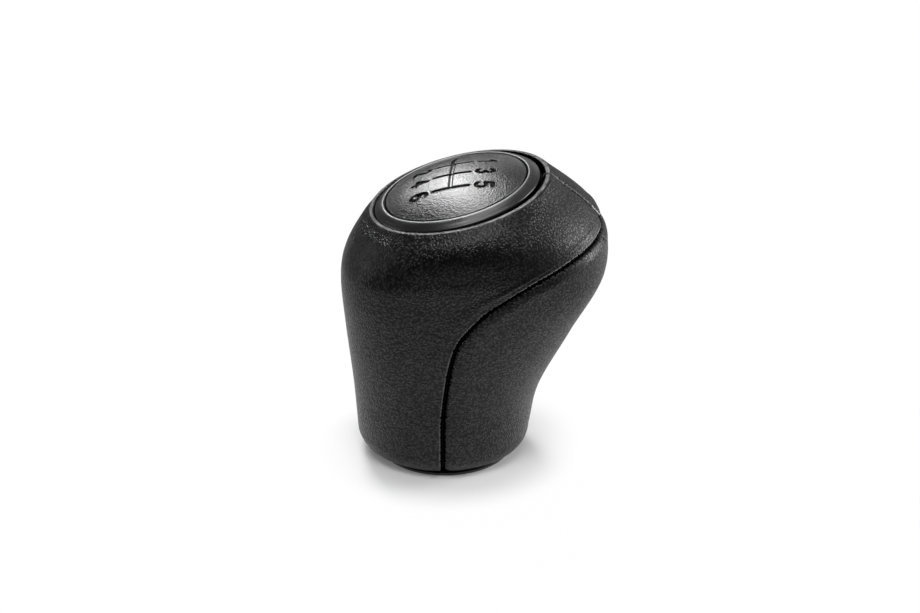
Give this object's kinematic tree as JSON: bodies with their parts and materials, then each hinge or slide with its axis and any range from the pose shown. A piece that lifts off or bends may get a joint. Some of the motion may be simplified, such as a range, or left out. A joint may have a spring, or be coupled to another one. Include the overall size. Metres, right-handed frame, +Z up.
{
  "type": "gear shift knob",
  "caption": "Leather-covered gear shift knob with a trim ring and a six-speed shift pattern cap.",
  "frame": {"origin": "centre of the lever's socket at the foot's resting plane", "axes": "+X to the car's front, +Y to the car's left, +Z up along the lever's axis"},
  "size_m": [0.07, 0.0572, 0.0811],
  "materials": {
    "leather": "satin",
    "thread": "matte",
    "trim_plastic": "satin",
    "nylon": "matte",
    "foam": "matte",
    "brass": "satin"
  },
  "bodies": {
    "root": {"core": "nylon", "threaded_insert": "brass", "foot_collar": "trim_plastic", "foam_pad": "foam", "front_leather": "leather", "upper_leather": "leather", "top_seam_thread": "thread", "left_seam_thread": "thread", "right_seam_thread": "thread", "trim_ring": "trim_plastic", "pattern_cap": "trim_plastic"}
  },
  "joints": []
}
